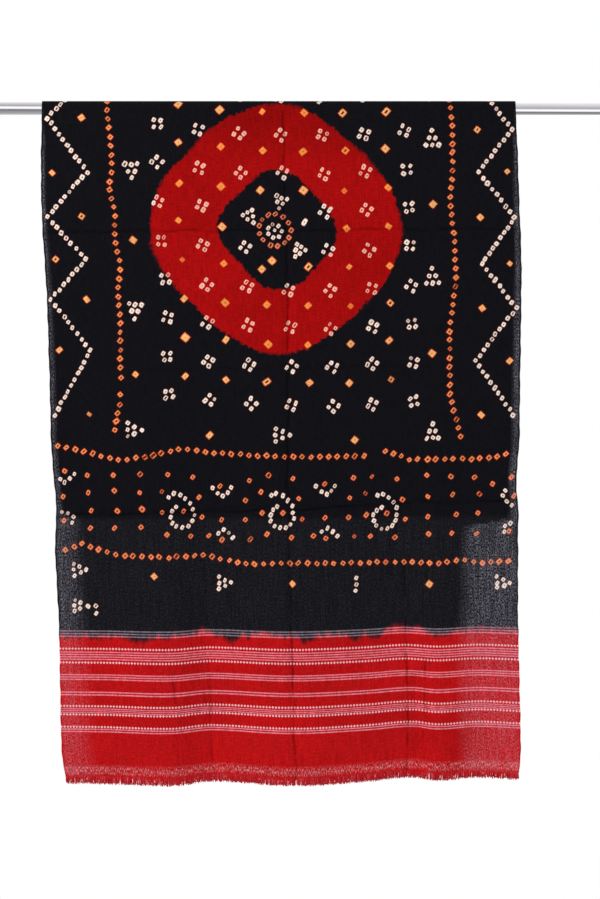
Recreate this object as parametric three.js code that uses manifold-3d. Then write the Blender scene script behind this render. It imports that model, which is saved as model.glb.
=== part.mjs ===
// A tie-dyed shawl hung over a straight rod, in millimetres, +Z up.
// The origin is the middle of the rod's axis. X runs along the rod, and the long front fall faces -Y.
// The cloth is one woven length, described by two flat coordinates:
//   across, from 0 at the viewer's left selvedge to 1 at the right one,
//   along, in mm from the middle of the length, + towards the front hem and - towards the back hem.
import * as THREE from 'three';
import { mergeVertices } from 'three/addons/utils/BufferGeometryUtils.js';
import Module from 'manifold-3d';

// Driving dimensions of the cloth as it was woven
const CLOTH_WIDTH = 914;
const HALF_LENGTH = 1067;
const WALL = 1.2;
const RED_END = 300; // from the hem's tips up to where the red dye starts
const FRINGE_ZONE = 21; // frayed part of each end, strip and strands
const FRINGE_STRIP = 5;
const FRINGE_WALL = 2; // the strip holds the thick roots of the strands
const SEAM = 0.3; // parting between neighbouring stretches

// The rod, and how the cloth lies on it
const ROD_RADIUS = 12.5;
const ROD_LENGTH = 1270;
const ROD_CHAMFER = 1;
const ROD_SIDES = 40;
const REST_GAP = 0.3;
const FRONT_START = -238; // along, where the front fall leaves the rod
const CLOTH_RADIUS = ROD_RADIUS + REST_GAP + WALL / 2;
const BACK_START = FRONT_START - Math.PI * CLOTH_RADIUS;

// The creases of a shawl that is stored folded in eight
const STORED_FOLD = HALF_LENGTH / 4;
const STORED_FOLD_DEPTH = 2;
const STORED_FOLD_FADE = 150; // drop over which they start below the rod
const MIDDLE_CREASE = { at: 0.5, halfWidth: 13 / CLOTH_WIDTH, depth: 2.2, fade: 60 };

// edges: where the selvedges hang, x at each drop below the rod.
// folds: how far the cloth stands out from its plane at the hem, and how much lower or higher it hangs there.
const FRONT = {
  side: -1,
  reach: HALF_LENGTH - FRONT_START,
  growth: 1.8,
  edges: [
    { drop: 0, left: -458, right: 456 },
    { drop: 180, left: -459, right: 463 },
    { drop: 333, left: -450, right: 467 },
    { drop: 487, left: -444, right: 465 },
    { drop: 642, left: -440, right: 463 },
    { drop: 720, left: -434, right: 457 },
    { drop: 780, left: -430, right: 461 },
    { drop: 840, left: -432, right: 460 },
    { drop: 1030, left: -424, right: 461 },
    { drop: 1225, left: -420, right: 465 },
    { drop: 1305, left: -410, right: 461 },
  ],
  folds: [
    { across: 0, out: 0, sag: 2 },
    { across: 0.1, out: 3, sag: 3 },
    { across: 0.243, out: 15, sag: 5 },
    { across: 0.326, out: -12, sag: 0 },
    { across: 0.5, out: 16, sag: 5 },
    { across: 0.667, out: -2, sag: -1 },
    { across: 0.753, out: -15, sag: -7 },
    { across: 0.823, out: 6, sag: -4 },
    { across: 0.906, out: -9, sag: -8 },
    { across: 1, out: 5, sag: -6 },
  ],
};
const BACK = {
  side: 1,
  reach: BACK_START + HALF_LENGTH,
  growth: 1.5,
  edges: [
    { drop: 0, left: -458, right: 456 },
    { drop: 50, left: -451, right: 450 },
    { drop: 160, left: -445, right: 445 },
    { drop: 420, left: -440, right: 444 },
    { drop: 650, left: -436, right: 443 },
    { drop: 787, left: -433, right: 440 },
  ],
  folds: [
    { across: 0, out: 4, sag: 1 },
    { across: 0.13, out: -4, sag: -2 },
    { across: 0.28, out: 8, sag: 3 },
    { across: 0.41, out: -6, sag: -2 },
    { across: 0.5, out: 5, sag: 1 },
    { across: 0.62, out: 9, sag: 4 },
    { across: 0.78, out: -6, sag: -3 },
    { across: 0.89, out: 6, sag: 0 },
    { across: 1, out: -2, sag: 2 },
  ],
};

const STRANDS = {
  count: 112,
  sides: 3,
  rootRadius: 0.8,
  tipRadius: 0.45,
  shortest: 0.7,
  sway: 1.1,
  swayTurn: 2.4,
};
const NORMAL_STEP = { across: 1e-3, along: 0.5 };

const MATERIALS = {
  chrome: new THREE.MeshStandardMaterial({ color: 0xc2c0c4, roughness: 0.12, metalness: 1 }),
  blackCloth: new THREE.MeshStandardMaterial({ color: 0x141519, roughness: 0.95, metalness: 0 }),
  redCloth: new THREE.MeshStandardMaterial({ color: 0xb21418, roughness: 0.95, metalness: 0 }),
};

const mix = THREE.MathUtils.lerp;
const smoothstep = THREE.MathUtils.smoothstep;

// A smooth curve through one column of a table, each row's slope taken from its neighbours
function tableAt(rows, key, column, value) {
  const last = rows.length - 1;
  const slope = (index) => {
    const before = rows[Math.max(index - 1, 0)];
    const after = rows[Math.min(index + 1, last)];
    return (after[column] - before[column]) / (after[key] - before[key]);
  };
  let index = 0;
  while (index < last - 1 && value > rows[index + 1][key]) index += 1;
  const from = rows[index];
  const to = rows[index + 1];
  const span = to[key] - from[key];
  const share = (value - from[key]) / span;
  const steps = [
    (1 + 2 * share) * (1 - share) ** 2 * from[column],
    share * (1 - share) ** 2 * span * slope(index),
    share ** 2 * (3 - 2 * share) * to[column],
    share ** 2 * (share - 1) * span * slope(index + 1),
  ];
  return steps.reduce((sum, step) => sum + step, 0);
}

// Stored folds turn in and out in turn, so the cloth between them leans a little
function storedFold(along, drop) {
  const turns = Math.abs(along) / STORED_FOLD;
  const wave = 1 - 2 * Math.abs((turns % 2) - 1);
  return -STORED_FOLD_DEPTH * wave * smoothstep(drop, 0, STORED_FOLD_FADE);
}

function middleCrease(across, drop) {
  const away = Math.abs(across - MIDDLE_CREASE.at) / MIDDLE_CREASE.halfWidth;
  return -MIDDLE_CREASE.depth * Math.max(0, 1 - away) * smoothstep(drop, 0, MIDDLE_CREASE.fade);
}

// A point in the middle of the cloth's thickness on one of the two falls
function fallPoint(fall, across, along, drop) {
  const grow = (drop / fall.reach) ** fall.growth;
  const left = tableAt(fall.edges, 'drop', 'left', drop);
  const right = tableAt(fall.edges, 'drop', 'right', drop);
  const fold = tableAt(fall.folds, 'across', 'out', across) * grow;
  const out = CLOTH_RADIUS + fold + storedFold(along, drop) + middleCrease(across, drop);
  const sag = tableAt(fall.folds, 'across', 'sag', across) * grow;
  return new THREE.Vector3(mix(left, right, across), fall.side * out, -drop - sag);
}

function clothPoint(across, along) {
  if (along > FRONT_START) return fallPoint(FRONT, across, along, along - FRONT_START);
  if (along < BACK_START) return fallPoint(BACK, across, along, BACK_START - along);
  const turn = (FRONT_START - along) / CLOTH_RADIUS;
  const x = mix(FRONT.edges[0].left, FRONT.edges[0].right, across);
  return new THREE.Vector3(x, -CLOTH_RADIUS * Math.cos(turn), CLOTH_RADIUS * Math.sin(turn));
}

// The cloth's normal, from short steps each way on its surface
function clothNormal(across, along) {
  const left = clothPoint(Math.max(across - NORMAL_STEP.across, 0), along);
  const right = clothPoint(Math.min(across + NORMAL_STEP.across, 1), along);
  const before = clothPoint(across, along - NORMAL_STEP.along);
  const after = clothPoint(across, along + NORMAL_STEP.along);
  return right.sub(left).cross(after.sub(before)).normalize();
}

// A stretch of the cloth as a closed wall: a box whose columns and rows are laid on the cloth
function clothWall(columns, rows, wall = WALL) {
  const geometry = new THREE.BoxGeometry(1, 1, 1, columns.length - 1, rows.length - 1, 1);
  geometry.deleteAttribute('normal');
  geometry.deleteAttribute('uv');
  const points = geometry.attributes.position;
  for (let index = 0; index < points.count; index += 1) {
    const across = columns[Math.round((points.getX(index) + 0.5) * (columns.length - 1))];
    const along = rows[Math.round((points.getY(index) + 0.5) * (rows.length - 1))];
    const point = clothPoint(across, along);
    point.addScaledVector(clothNormal(across, along), points.getZ(index) * wall);
    points.setXYZ(index, point.x, point.y, point.z);
  }
  return mergeVertices(geometry);
}

function evenSteps(from, to, count) {
  return Array.from({ length: count + 1 }, (_, index) => mix(from, to, index / count));
}

// Even columns, with the middle crease's own three lines in place of the nearest ones
function clothColumns(count) {
  const { at, halfWidth } = MIDDLE_CREASE;
  const away = (column) => Math.abs(column - at) > halfWidth * 1.5;
  const even = evenSteps(0, 1, count).filter(away);
  return [...even, at - halfWidth, at, at + halfWidth].sort((a, b) => a - b);
}

// Even rows, with a row on each stored fold
function clothRows(from, to, count) {
  const folds = [-3, -2, -1, 0, 1, 2, 3].map((index) => index * STORED_FOLD);
  const low = Math.min(from, to);
  const high = Math.max(from, to);
  const apart = (high - low) / count / 2;
  const inside = folds.filter((fold) => fold > low + apart && fold < high - apart);
  const even = evenSteps(low, high, count);
  const kept = even.filter((row) => inside.every((fold) => Math.abs(fold - row) > apart));
  return [...kept, ...inside].sort((a, b) => a - b);
}

function makeRod() {
  const half = ROD_LENGTH / 2;
  const flat = ROD_RADIUS - ROD_CHAMFER;
  const profile = [
    [0, -half],
    [flat, -half],
    [ROD_RADIUS, -half + ROD_CHAMFER],
    [ROD_RADIUS, half - ROD_CHAMFER],
    [flat, half],
    [0, half],
  ].map(([radius, along]) => new THREE.Vector2(radius, along));
  return new THREE.LatheGeometry(profile, ROD_SIDES).rotateZ(-Math.PI / 2);
}

const wasm = await Module();
wasm.setup();

function toSolid(geometry) {
  const bare = geometry.clone();
  bare.deleteAttribute('normal');
  bare.deleteAttribute('uv');
  const merged = mergeVertices(bare, 1e-3);
  const vertProperties = new Float32Array(merged.attributes.position.array);
  const triVerts = new Uint32Array(merged.index.array);
  return new wasm.Manifold(new wasm.Mesh({ numProp: 3, vertProperties, triVerts }));
}

function toGeometry(solid) {
  const mesh = solid.getMesh();
  const geometry = new THREE.BufferGeometry();
  geometry.setAttribute('position', new THREE.BufferAttribute(mesh.vertProperties, 3));
  geometry.setIndex(new THREE.BufferAttribute(mesh.triVerts, 1));
  return geometry;
}

// A point between two columns, on the straight facet that joins them
function facetPoint(columns, across, along) {
  const next = columns.findIndex((column) => column > across);
  const share = (across - columns[next - 1]) / (columns[next] - columns[next - 1]);
  return clothPoint(columns[next - 1], along).lerp(clothPoint(columns[next], along), share);
}

// One frayed strand: it starts inside the strip and hangs on along the cloth, leaning a little
function makeStrand(index, columns, rootAlong, tipAlong) {
  const across = (index + 0.5) / STRANDS.count;
  const wave = Math.sin(index * STRANDS.swayTurn);
  const share = mix(STRANDS.shortest, 1, (wave + 1) / 2);
  const root = facetPoint(columns, across, rootAlong);
  const tip = facetPoint(columns, across, mix(rootAlong, tipAlong, share));
  tip.x += STRANDS.sway * Math.cos(index * STRANDS.swayTurn * 2);
  const axis = tip.clone().sub(root);
  const { tipRadius, rootRadius, sides } = STRANDS;
  const strand = new THREE.CylinderGeometry(tipRadius, rootRadius, axis.length(), sides, 1);
  const turn = new THREE.Quaternion().setFromUnitVectors(new THREE.Vector3(0, 1, 0), axis.normalize());
  const middle = root.add(tip).multiplyScalar(0.5);
  return strand.applyQuaternion(turn).translate(middle.x, middle.y, middle.z);
}

// The frayed end: a narrow strip of cloth past the border, with its strands fused into it
function makeFringe(sign, columns) {
  const start = sign * (HALF_LENGTH - FRINGE_ZONE + SEAM / 2);
  const stripEnd = start + sign * FRINGE_STRIP;
  const rootAlong = stripEnd - (sign * FRINGE_STRIP) / 2;
  const rows = [start, stripEnd].sort((a, b) => a - b);
  let solid = toSolid(clothWall(columns, rows, FRINGE_WALL));
  for (let index = 0; index < STRANDS.count; index += 1) {
    solid = solid.add(toSolid(makeStrand(index, columns, rootAlong, sign * HALF_LENGTH)));
  }
  return toGeometry(solid);
}

function addPiece(group, name, geometry, material) {
  const piece = new THREE.Mesh(geometry, material.clone());
  piece.name = name;
  group.add(piece);
}

// How finely each stretch is divided
const FRONT_COLUMNS = 50;
const BACK_COLUMNS = 36;
const ROD_TURN_STEPS = 16;
const FIELD_ROWS = 14;
const BORDER_ROWS = 5;
const BACK_FIELD_ROWS = 9;

const borderEdge = HALF_LENGTH - RED_END;
const fringeEdge = HALF_LENGTH - FRINGE_ZONE;
const half = SEAM / 2;
const shawl = new THREE.Group();
addPiece(shawl, 'rod', makeRod(), MATERIALS.chrome);
const turnRows = evenSteps(BACK_START + half, FRONT_START - half, ROD_TURN_STEPS);
addPiece(shawl, 'rod_fold', clothWall([0, 1], turnRows), MATERIALS.blackCloth);

const falls = [
  { name: 'front', sign: 1, start: FRONT_START, columns: FRONT_COLUMNS, rows: FIELD_ROWS },
  { name: 'back', sign: -1, start: BACK_START, columns: BACK_COLUMNS, rows: BACK_FIELD_ROWS },
];
for (const fall of falls) {
  const { name, sign, start, rows } = fall;
  const columns = clothColumns(fall.columns);
  const field = clothRows(start + sign * half, sign * (borderEdge - half), rows);
  const border = clothRows(sign * (borderEdge + half), sign * (fringeEdge - half), BORDER_ROWS);
  addPiece(shawl, `${name}_field`, clothWall(columns, field), MATERIALS.blackCloth);
  addPiece(shawl, `${name}_border`, clothWall(columns, border), MATERIALS.redCloth);
  addPiece(shawl, `${name}_fringe`, makeFringe(sign, columns), MATERIALS.redCloth);
}

export default shawl;
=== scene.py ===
# %% [markdown]
# # A tie-dyed shawl hung over a rod
# The object is one length of thin, loosely woven cloth, 914 mm wide and 2134 mm long, that hangs over a
# chromed display rod. Its long front fall faces -Y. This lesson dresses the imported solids: it lays a fine
# shell on the form of each stretch of cloth, dyes it, and frays its two ends.

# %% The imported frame
import math

import bpy
import numpy as np
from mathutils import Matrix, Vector, kdtree


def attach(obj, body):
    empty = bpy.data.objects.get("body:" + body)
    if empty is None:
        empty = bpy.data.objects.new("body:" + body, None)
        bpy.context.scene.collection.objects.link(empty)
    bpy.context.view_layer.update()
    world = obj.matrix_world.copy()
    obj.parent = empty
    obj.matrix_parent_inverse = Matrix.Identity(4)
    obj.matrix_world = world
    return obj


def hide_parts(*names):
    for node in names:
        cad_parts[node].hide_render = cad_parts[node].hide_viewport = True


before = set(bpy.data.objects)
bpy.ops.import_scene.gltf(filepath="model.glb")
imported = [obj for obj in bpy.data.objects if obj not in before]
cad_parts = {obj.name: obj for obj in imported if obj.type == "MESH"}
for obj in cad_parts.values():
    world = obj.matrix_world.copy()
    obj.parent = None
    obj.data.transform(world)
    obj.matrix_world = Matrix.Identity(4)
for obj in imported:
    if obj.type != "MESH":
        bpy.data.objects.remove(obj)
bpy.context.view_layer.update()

print("nodes in the frame:", sorted(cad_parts))

# %% [markdown]
# ## The cloth as it was woven
# A maker thinks of the cloth lying flat, so every place on it has two flat coordinates. `across` runs from
# 0 at the viewer's left selvedge to 1 at the right one. `along` runs in millimetres from the middle of the
# length, + towards the front hem and - towards the back hem. The sizes and tables below repeat those of the
# solids, but the middle crease lies 6 mm further right, where it shows.

# %% Sizes in millimetres
MM = 0.001
CLOTH_WIDTH = 914
HALF_LENGTH = 1067
CLOTH_WALL = 0.8
RED_END = 300
FRINGE_ZONE = 21
FRINGE_STRIP = 5
ROD_RADIUS = 12.5
ROD_LENGTH = 1270
REST_GAP = 0.3
SOLID_WALL = 1.2
FRONT_START = -238
CLOTH_RADIUS = ROD_RADIUS + REST_GAP + SOLID_WALL / 2
BACK_START = FRONT_START - math.pi * CLOTH_RADIUS
STORED_FOLD = HALF_LENGTH / 4
STORED_FOLD_DEPTH = 2
STORED_FOLD_FADE = 150
MIDDLE_CREASE = {"at": 0.507, "half_width": 13 / CLOTH_WIDTH, "depth": 2.2, "fade": 60}

# %% How the two falls hang
FRONT = {
    "side": -1,
    "reach": HALF_LENGTH - FRONT_START,
    "growth": 1.8,
    "edges": {
        "drop": [0, 180, 333, 487, 642, 720, 780, 840, 1030, 1225, 1305],
        "left": [-458, -459, -450, -444, -440, -434, -430, -432, -424, -420, -410],
        "right": [456, 463, 467, 465, 463, 457, 461, 460, 461, 465, 461],
    },
    "folds": {
        "across": [0, 0.1, 0.243, 0.326, 0.5, 0.667, 0.753, 0.823, 0.906, 1],
        "out": [0, 3, 15, -12, 16, -2, -15, 6, -9, 5],
        "sag": [2, 3, 5, 0, 5, -1, -7, -4, -8, -6],
    },
}
BACK = {
    "side": 1,
    "reach": BACK_START + HALF_LENGTH,
    "growth": 1.5,
    "edges": {
        "drop": [0, 50, 160, 420, 650, 787],
        "left": [-458, -451, -445, -440, -436, -433],
        "right": [456, 450, 445, 444, 443, 440],
    },
    "folds": {
        "across": [0, 0.13, 0.28, 0.41, 0.5, 0.62, 0.78, 0.89, 1],
        "out": [4, -4, 8, -6, 5, 9, -6, 6, -2],
        "sag": [1, -2, 3, -2, 1, 4, -3, 0, 2],
    },
}

# %% A smooth curve through a table


def curve_at(table, key, column, value):
    """The height of a smooth curve through one column, each row's slope taken from its neighbours."""
    knots = np.array(table[key], float)
    heights = np.array(table[column], float)
    wide_knots = np.concatenate((knots[:1], knots, knots[-1:]))
    wide_heights = np.concatenate((heights[:1], heights, heights[-1:]))
    slopes = (wide_heights[2:] - wide_heights[:-2]) / (wide_knots[2:] - wide_knots[:-2])
    index = np.clip(np.searchsorted(knots, value, side="right") - 1, 0, len(knots) - 2)
    span = knots[index + 1] - knots[index]
    share = (value - knots[index]) / span
    leave = (1 + 2 * share) * (1 - share) ** 2 * heights[index]
    leave += share * (1 - share) ** 2 * span * slopes[index]
    arrive = share**2 * (3 - 2 * share) * heights[index + 1]
    arrive += share**2 * (share - 1) * span * slopes[index + 1]
    return leave + arrive


def smoothstep(value, low, high):
    share = np.clip((value - low) / (high - low), 0, 1)
    return share * share * (3 - 2 * share)


# %% [markdown]
# ## Creases
# The big folds come from the solids. A real shawl also shows the sharp lines of the parcel it was folded
# in, and soft dents where it was handled. Each row below is one crease, drawn between two places on the
# flat cloth. A trough has a negative depth and a ridge a positive one. They are uneven on purpose, and the
# back has its own.

# %% The creases, in millimetres on the flat cloth
# The line column is how strong the painted shade along a crease is, and 0 paints none
CREASE_COLUMNS = ("from_across", "from_along", "to_across", "to_along", "depth", "width", "line")
CREASES = [
    dict(zip(CREASE_COLUMNS, row))
    for row in [
        (9, -230, 4, 500, -0.8, 6, 0.85),
        (4, 500, 8, 1060, -1.4, 7, 0.8),
        (-457, 549, 457, 522, -2.6, 6, 0.8),
        (-457, 3, 457, -4, -1.4, 5, 0.6),
        (-300, 268, 330, 262, -0.9, 6, 0.3),
        (-457, 802, 457, 796, -0.6, 6, 0),
        (222, 520, 206, 670, -2.4, 9, 0.45),
        (233, 640, 235, 850, -3.0, 7, 0.75),
        (234, 850, 232, 1060, -1.6, 8, 1.0),
        (270, 830, 268, 962, -2.2, 7, 0.6),
        (246, 1022, 266, 975, -1.8, 8, 0.4),
        (-161, 690, -162, 880, -2.0, 7, 0.35),
        (-161, 880, -158, 1050, -2.6, 8, 0.6),
        (-230, 850, -229, 905, -1.8, 7, 0.5),
        (-228, 960, -228, 1060, -1.2, 9, 0.25),
        (150, 770, 158, 1066, -1.2, 11, 0),
        (-60, -236, -66, -90, -0.8, 9, 0),
        (330, -236, 338, -120, -0.9, 8, 0),
        (-330, -236, -322, -60, -0.7, 9, 0),
        (60, -236, 66, -150, 0.7, 10, 0),
        (180, 120, 172, 330, -0.8, 12, 0),
        (-400, 560, -388, 760, -1.0, 14, 0),
        (380, 610, 392, 900, -1.2, 13, 0),
        (6, -290, 4, -1060, -1.4, 8, 0.7),
        (-457, -533, 457, -538, -2.0, 6, 0.6),
        (-457, -270, 457, -266, -1.2, 5, 0.4),
        (-340, -800, 360, -804, -1.0, 6, 0.3),
        (-200, -560, -215, -1060, -2.4, 9, 0.5),
        (120, -600, 135, -1060, 2.0, 12, 0),
        (260, -340, 252, -620, -1.4, 9, 0.2),
        (-60, -420, -72, -1060, -2.0, 10, 0.4),
        (-420, -350, -410, -700, 1.4, 12, 0),
        (330, -700, 322, -1060, -2.2, 8, 0.5),
        (-250, -300, -262, -520, 1.0, 14, 0),
        (257, 846, 255, 1064, -10, 16, 0),
    ]
]
CREASE_FADE = 60
SWAY = {"reach": 2.5, "length": 55, "turn": 1.7}


def crease_depth(across, along, drop):
    """How far the listed creases push the cloth out."""
    place = np.stack([(across - 0.5) * CLOTH_WIDTH, along], -1)
    total = np.zeros_like(across)
    for number, crease in enumerate(CREASES):
        start = np.array([crease["from_across"], crease["from_along"]], float)
        end = np.array([crease["to_across"], crease["to_along"]], float)
        run = end - start
        length = np.linalg.norm(run)
        share = np.clip(((place - start) @ run) / (run @ run), 0, 1)
        side = np.array([-run[1], run[0]]) / length
        sway = SWAY["reach"] * np.sin(share * length / SWAY["length"] + number * SWAY["turn"])
        away = place - (start + share[..., None] * run + sway[..., None] * side)
        distance = np.linalg.norm(away, axis=-1)
        taper = 1 - (2 * share - 1) ** 6
        total += crease["depth"] * np.exp(-((distance / crease["width"]) ** 2)) * taper
    return total * smoothstep(drop, 0, CREASE_FADE)


def slack(across, along, drop):
    """The soft unevenness that any hanging cloth has, from a few long waves that don't repeat together."""
    flat = (across - 0.5) * CLOTH_WIDTH
    waves = 0.8 * np.sin(flat / 61 + 1.3) * np.sin(along / 83 + 0.4)
    waves += 0.45 * np.sin(flat / 29 + along / 97 + 2.1) + 0.35 * np.sin(flat / 17 - along / 140)
    waves += 0.25 * np.sin(flat / 11 + 0.7) * np.sin(along / 37 + flat / 90)
    return waves * smoothstep(drop, 0, CREASE_FADE * 2)


# %% [markdown]
# ## The cloth's form
# One function says where any flat place hangs. The two falls drop from the rod on either side of it, and
# between them the cloth turns on a half circle. Normals come from short steps on that form, so neighbouring
# stretches shade as one cloth although each is a piece of its own.

# %% From the flat cloth to the hanging one


def stored_fold(along, drop):
    turns = np.abs(along) / STORED_FOLD
    wave = 1 - 2 * np.abs(turns % 2 - 1)
    return -STORED_FOLD_DEPTH * wave * smoothstep(drop, 0, STORED_FOLD_FADE)


def middle_crease(across, drop):
    away = np.abs(across - MIDDLE_CREASE["at"]) / MIDDLE_CREASE["half_width"]
    return -MIDDLE_CREASE["depth"] * np.clip(1 - away, 0, None) * smoothstep(drop, 0, MIDDLE_CREASE["fade"])


def selvedge_ripple(across, along, drop):
    near_edge = (2 * np.abs(across - 0.5)) ** 24
    ripple = 0.35 * np.sin(along / 5.1) + 0.4 * np.sin(along / 12.3 + 1) + 0.3 * np.sin(along / 31)
    return np.sign(across - 0.5) * near_edge * ripple * smoothstep(drop, 0, CREASE_FADE)


def fall_point(fall, across, along, drop):
    drop = np.maximum(drop, 0)
    grow = (drop / fall["reach"]) ** fall["growth"]
    left = curve_at(fall["edges"], "drop", "left", drop)
    right = curve_at(fall["edges"], "drop", "right", drop)
    out = CLOTH_RADIUS + curve_at(fall["folds"], "across", "out", across) * grow
    out += stored_fold(along, drop) + middle_crease(across, drop)
    out += crease_depth(across, along, drop) + slack(across, along, drop)
    sag = curve_at(fall["folds"], "across", "sag", across) * grow
    x = left + (right - left) * across + selvedge_ripple(across, along, drop)
    return np.stack([x, fall["side"] * out, -drop - sag], -1)


def cloth_point(across, along):
    """Points in millimetres for arrays of flat places."""
    front = fall_point(FRONT, across, along, along - FRONT_START)
    back = fall_point(BACK, across, along, BACK_START - along)
    turn = (FRONT_START - along) / CLOTH_RADIUS
    left, right = FRONT["edges"]["left"][0], FRONT["edges"]["right"][0]
    x = left + (right - left) * across
    over = np.stack([x, -CLOTH_RADIUS * np.cos(turn), CLOTH_RADIUS * np.sin(turn)], -1)
    hanging = np.where((along > FRONT_START)[..., None], front, back)
    on_rod = (along <= FRONT_START) & (along >= BACK_START)
    return np.where(on_rod[..., None], over, hanging)


def cloth_normal(across, along, step_across=1e-3, step_along=0.5):
    """Unit normals that point inwards, towards the rod."""
    sideways = cloth_point(np.minimum(across + step_across, 1), along)
    sideways -= cloth_point(np.maximum(across - step_across, 0), along)
    lengthways = cloth_point(across, along + step_along) - cloth_point(across, along - step_along)
    normal = np.cross(sideways, lengthways)
    return normal / np.linalg.norm(normal, axis=-1, keepdims=True)


# %% [markdown]
# ## Tied dots
# In bandhani the dyer pinches up thousands of tiny knots before the dye bath. Each knot leaves a small
# lozenge with a dark eye. The dots are dye with next to no relief, so they aren't modelled: a list says
# where each one was tied, and later every face of the cloth learns its two nearest dots, which its material
# draws. Rules and short tables lay out the traditional motifs: chains, zigzags, fours, triangles, mangoes
# and a rosette.

# %% Kinds of dots


def dye(red, green, blue):
    """A colour given as 0 to 255 display values, as the linear values that a shader takes."""
    display = np.array([red, green, blue]) / 255
    linear = np.where(display <= 0.04045, display / 12.92, ((display + 0.055) / 1.055) ** 2.4)
    return tuple(float(value) for value in linear)


DOT_STYLES = {
    "cream": {"radius": 4.9, "eye": 0.29, "square": 0.45, "lean": 60, "long": 1.10,
              "dye": dye(255, 240, 228)},
    "orange": {"radius": 6.1, "eye": 0.38, "square": 0.70, "lean": 48, "long": 1.04,
               "dye": dye(250, 156, 98)},
    "hollow": {"radius": 5.7, "eye": 0.50, "square": 0.55, "lean": 50, "long": 1.05,
               "dye": dye(234, 140, 100)},
    "seed": {"radius": 5.6, "eye": 0.38, "square": 0.55, "lean": 52, "long": 1.08,
             "dye": dye(250, 146, 92)},
    "diamond": {"radius": 8.2, "eye": 0.14, "square": 0.78, "lean": 46, "long": 1.03,
                "dye": dye(255, 192, 128)},
}
ON_RED_DYES = {"cream": dye(255, 192, 174), "diamond": dye(255, 160, 82)}
RING = {"across": -11, "along": -4, "radius": 230, "square": 9}
HOLE = {"across": -7, "along": -1, "radius": 108, "square": 8}
# How uneven the knots are: their spread in place, turn and size, and how often one is faint or wide-eyed
KNOTS = {"place": 0.7, "turn": 9, "size": 0.07, "faint": 0.03, "wide_eye": 0.08}
tied = []
hand = np.random.default_rng(71)


def on_red(across, along):
    """Whether a place lies in the ring, whose edges bulge in four directions, as the cloth was folded."""
    inside = []
    for edge in (RING, HOLE):
        x, y = across - edge["across"], along - edge["along"]
        inside.append(math.hypot(x, y) < edge["radius"] + edge["square"] * math.cos(4 * math.atan2(y, x)))
    return inside[0] and not inside[1]


def tie(across, along, kind, size=1.0):
    """Adds one dot at a flat place in millimetres, with the small errors of a hand that ties knots."""
    style = DOT_STYLES[kind]
    across += hand.normal(0, KNOTS["place"])
    along += hand.normal(0, KNOTS["place"])
    colour = ON_RED_DYES.get(kind, style["dye"]) if on_red(across, along) else style["dye"]
    tone = hand.uniform(0.92, 1.06)
    faint = 0.5 if hand.random() < KNOTS["faint"] else 1.0
    shrink = 0.85 if faint < 1 else 1
    tied.append({
        "across": across,
        "along": along,
        "turn": math.radians(style["lean"] + hand.normal(0, KNOTS["turn"] - 5 * style["square"])),
        "radius": style["radius"] * size * math.exp(hand.normal(0, KNOTS["size"])) * shrink,
        "eye": style["eye"] * hand.uniform(0.7, 1.2) + (0.25 if hand.random() < KNOTS["wide_eye"] else 0),
        "long": style["long"] * math.exp(hand.normal(0, KNOTS["size"])),
        "square": style["square"],
        "dye": tuple(channel * tone for channel in colour),
        "strength": faint * hand.uniform(0.94, 1.0),
    })


# %% Motifs
FOUR_REACH = 9.4
TRIANGLE_PLACES = [(-12, -13.5), (0, -13.5), (12, -13.5), (-6, 0), (6, 0), (0, 13.5)]
CHEVRON_PLACES = [(-19, -16), (-10, -6), (0, 0), (10, -7), (18, -17)]
MANGO_BULB = {"across": -2, "along": 9, "wide": 23, "long": 21.5, "dots": 10, "from": -25, "to": 244}
MANGO_TAIL = [(17, -14), (9, -24), (-1, -31), (-13, -36), (-24, -31)]
MANGO_SEEDS = [(-25, -72), (24, -65), (-40, -40), (32, -26), (-41, 2), (37, 12), (-30, 44), (16, 47), (0, 0)]
CHEVRON_SEEDS = [(-3, -20), (-5, 45), (45, 8), (42, 44), (55, -32), (54, 82), (-3, 84), (-27, 78)]
CHAIN_PITCH = 17.3
CREAM_PITCH = 12.9


def tie_all(across, along, places, kind, turn=0, size=1.0):
    """Ties a motif's dots, turned by some degrees about its middle."""
    cosine, sine = math.cos(math.radians(turn)), math.sin(math.radians(turn))
    for x, y in places:
        tie(across + x * cosine - y * sine, along + x * sine + y * cosine, kind, size)


def tie_four(across, along, turn):
    reach = FOUR_REACH
    places = [(0, -reach), (reach, 0), (0, reach), (-reach, 0)]
    tie_all(across, along, places, "cream", turn=turn + hand.normal(0, 9))


def tie_chain(table, pitch, kind, gaps=()):
    """Ties dots at an even pitch along the straight runs between a table's rows, leaving gaps out."""
    places = np.stack([table["across"], table["along"]], -1).astype(float)
    runs = np.concatenate([[0], np.cumsum(np.linalg.norm(np.diff(places, axis=0), axis=1))])
    for distance in np.arange(0, runs[-1], pitch):
        across = np.interp(distance, runs, places[:, 0])
        along = np.interp(distance, runs, places[:, 1])
        if not any(low < along < high for low, high in gaps):
            tie(across, along, kind)


def tie_mango(across, along, turn):
    degrees = np.radians(np.linspace(MANGO_BULB["from"], MANGO_BULB["to"], MANGO_BULB["dots"]))
    bulb_across = MANGO_BULB["across"] + MANGO_BULB["wide"] * np.cos(degrees)
    bulb_along = MANGO_BULB["along"] + MANGO_BULB["long"] * np.sin(degrees)
    tie_all(across, along, [*zip(bulb_across, bulb_along), *MANGO_TAIL], "cream", turn, 0.95)
    tie_all(across, along, MANGO_SEEDS, "seed")


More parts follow.
